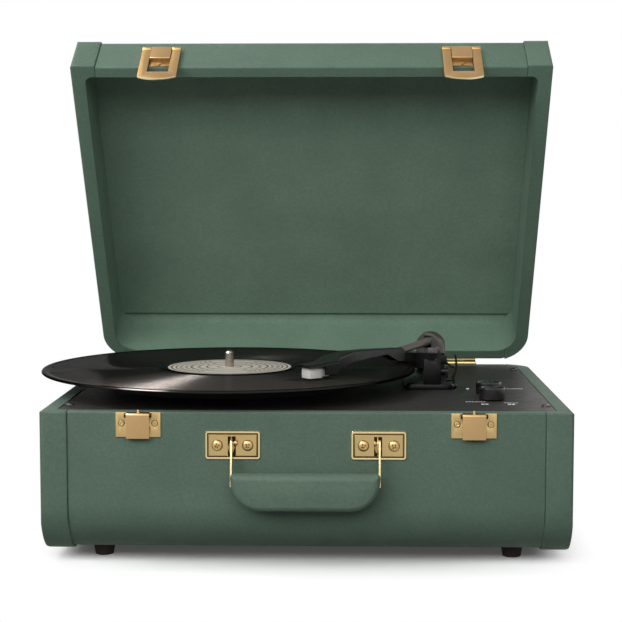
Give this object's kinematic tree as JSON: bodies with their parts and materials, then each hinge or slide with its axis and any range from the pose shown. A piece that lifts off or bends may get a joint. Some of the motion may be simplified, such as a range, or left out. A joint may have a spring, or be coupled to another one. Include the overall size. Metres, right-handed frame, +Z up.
{
  "type": "turntable record player",
  "caption": "Portable turntable record player in a hinged, leatherette-covered case with draw latches, carrying handle, belt-driven platter and pivoting tonearm.",
  "frame": {"origin": "On the spindle's axis, level with the top of the record on the platter, which is where the spindle's straight free length starts", "axes": "+Z up along the spindle, +Y from the front of the case with the latches and handle to the hinged rear, +X to the right seen from the front"},
  "size_m": [0.4098, 0.3611, 0.3961],
  "materials": {
    "green_leatherette": "embossed grain, satin",
    "green_lining": "matt",
    "brass_plate": "satin lacquer",
    "copper_plate": "polished, warm",
    "satin_steel": "satin",
    "zinc_steel": "zinc plated",
    "black_plastic": "satin",
    "charcoal_plastic": "half gloss",
    "deck_black": "satin",
    "cream_plastic": "satin",
    "red_plastic": "gloss",
    "clear_lens": "clear",
    "vinyl": "gloss with fine grooves",
    "label_paper": "uncoated",
    "black_rubber": "matt",
    "brown_rubber": "matt",
    "felt": "matt",
    "painted_black_metal": "matt",
    "speaker_paper": "matt",
    "board": "lacquered",
    "hardboard": "painted"
  },
  "bodies": {
    "base": {"base_shell": "green_leatherette", "base_cheek_left": "green_leatherette", "base_cheek_right": "green_leatherette", "deck_plate": "deck_black", "deck_screws": "zinc_steel", "bottom_panel": "hardboard", "bottom_screws": "zinc_steel", "speaker_baskets": "painted_black_metal", "speaker_cones": "speaker_paper", "feet": "brown_rubber", "handle_brackets": "brass_plate", "bracket_screws": "brass_plate", "latch_plates": "brass_plate", "latch_screws": "brass_plate", "hinge_base_leaves": "brass_plate", "hinge_pins": "brass_plate", "hinge_base_screws": "brass_plate", "rear_panel": "black_plastic", "rca_sockets": "zinc_steel", "headphone_socket": "black_plastic", "dc_inlet": "black_plastic", "circuit_board": "board", "potentiometers": "zinc_steel", "motor": "zinc_steel", "drive_belt": "black_rubber", "spindle_bearing": "brass_plate", "arm_base": "black_plastic", "arm_rest": "black_plastic", "power_light": "clear_lens"},
    "lid": {"lid_shell": "green_leatherette", "lid_cheek_left": "green_leatherette", "lid_cheek_right": "green_leatherette", "lid_lining": "green_lining", "hinge_lid_leaves": "brass_plate", "hinge_lid_screws": "brass_plate", "hasp_plates": "copper_plate"},
    "hasp_left": {"hasp_left": "copper_plate"},
    "hasp_right": {"hasp_right": "copper_plate"},
    "latch_lever_left": {"latch_lever_left": "copper_plate"},
    "latch_lever_right": {"latch_lever_right": "copper_plate"},
    "handle": {"handle_grip": "green_leatherette", "handle_arms": "brass_plate"},
    "platter": {"platter": "charcoal_plastic", "slip_mat": "felt", "spindle": "satin_steel", "record": "vinyl", "record_label": "label_paper"},
    "motor_pulley": {"motor_pulley": "brass_plate"},
    "turret": {"arm_turret": "charcoal_plastic"},
    "tonearm": {"arm_tube": "charcoal_plastic", "arm_shell": "black_plastic", "cartridge": "cream_plastic", "stylus": "red_plastic"},
    "rest_clip": {"rest_clip": "black_plastic"},
    "cue_lever": {"cue_lever": "black_plastic"},
    "cue_lift": {"cue_lift": "black_plastic"},
    "volume_knob": {"volume_knob": "black_plastic"},
    "function_knob": {"function_knob": "black_plastic"},
    "speed_switch": {"speed_switch": "black_plastic"},
    "autostop_switch": {"autostop_switch": "black_plastic"}
  },
  "joints": [
    {"name": "lid_hinge", "type": "hinge", "parent": "base", "child": "lid", "pos_m": [0.066, 0.1646, -0.016], "axis": [-1, 0, 0], "range_deg": [-40.5, 45]},
    {"name": "hasp_left_hinge", "type": "hinge", "parent": "lid", "child": "hasp_left", "pos_m": [-0.055, 0.01544, 0.25651], "axis": [-1, 0, 0], "range_deg": [0, 100]},
    {"name": "hasp_right_hinge", "type": "hinge", "parent": "lid", "child": "hasp_right", "pos_m": [0.187, 0.01544, 0.25651], "axis": [-1, 0, 0], "range_deg": [0, 100]},
    {"name": "latch_left_hinge", "type": "hinge", "parent": "base", "child": "latch_lever_left", "pos_m": [-0.055, -0.1454, -0.0183], "axis": [-1, 0, 0], "range_deg": [0, 95]},
    {"name": "latch_right_hinge", "type": "hinge", "parent": "base", "child": "latch_lever_right", "pos_m": [0.187, -0.1454, -0.0183], "axis": [-1, 0, 0], "range_deg": [0, 95]},
    {"name": "handle_hinge", "type": "hinge", "parent": "base", "child": "handle", "pos_m": [0.066, -0.146, -0.038], "axis": [-1, 0, 0], "range_deg": [0, 142]},
    {"name": "platter_spin", "type": "hinge", "parent": "base", "child": "platter", "pos_m": [0, 0, 0], "axis": [0, 0, 1], "continuous": true},
    {"name": "pulley_spin", "type": "hinge", "parent": "base", "child": "motor_pulley", "pos_m": [-0.04038, 0.07593, 0], "axis": [0, 0, 1], "continuous": true},
    {"name": "arm_swivel", "type": "hinge", "parent": "base", "child": "turret", "pos_m": [0.1672, 0.0796, 0], "axis": [0, 0, 1], "range_deg": [-16.5, 29.4]},
    {"name": "arm_lift", "type": "hinge", "parent": "turret", "child": "tonearm", "pos_m": [0.1672, 0.0796, 0.0136], "axis": [-0.8484, 0.5293, 0], "range_deg": [0, 10]},
    {"name": "rest_clip_hinge", "type": "hinge", "parent": "base", "child": "rest_clip", "pos_m": [0.1735, -0.0039, 0.0065], "axis": [0, -1, 0], "range_deg": [0, 100]},
    {"name": "cue_lever_hinge", "type": "hinge", "parent": "base", "child": "cue_lever", "pos_m": [0.173, -0.0124, -0.002], "axis": [-1, 0, 0], "range_deg": [0, 35]},
    {"name": "cue_lift_slide", "type": "slide", "parent": "base", "child": "cue_lift", "axis": [0, 0, 1], "range_m": [0, 0.001]},
    {"name": "volume_knob_turn", "type": "hinge", "parent": "base", "child": "volume_knob", "pos_m": [0.2066, -0.0704, -0.016], "axis": [0, 0, 1], "range_deg": [-150, 150]},
    {"name": "function_knob_turn", "type": "hinge", "parent": "base", "child": "function_knob", "pos_m": [0.2066, -0.0384, -0.016], "axis": [0, 0, 1], "range_deg": [-30, 30]},
    {"name": "speed_switch_slide", "type": "slide", "parent": "base", "child": "speed_switch", "axis": [0, 1, 0], "range_m": [-0.004, 0.004]},
    {"name": "autostop_switch_slide", "type": "slide", "parent": "base", "child": "autostop_switch", "axis": [0, 1, 0], "range_m": [-0.002, 0.002]}
  ],
  "couplings": [
    {"joint": "pulley_spin", "follows": "platter_spin", "ratio": 14.763},
    {"joint": "cue_lift_slide", "follows": "cue_lever_hinge", "m_per_rad": 0.00163}
  ]
}
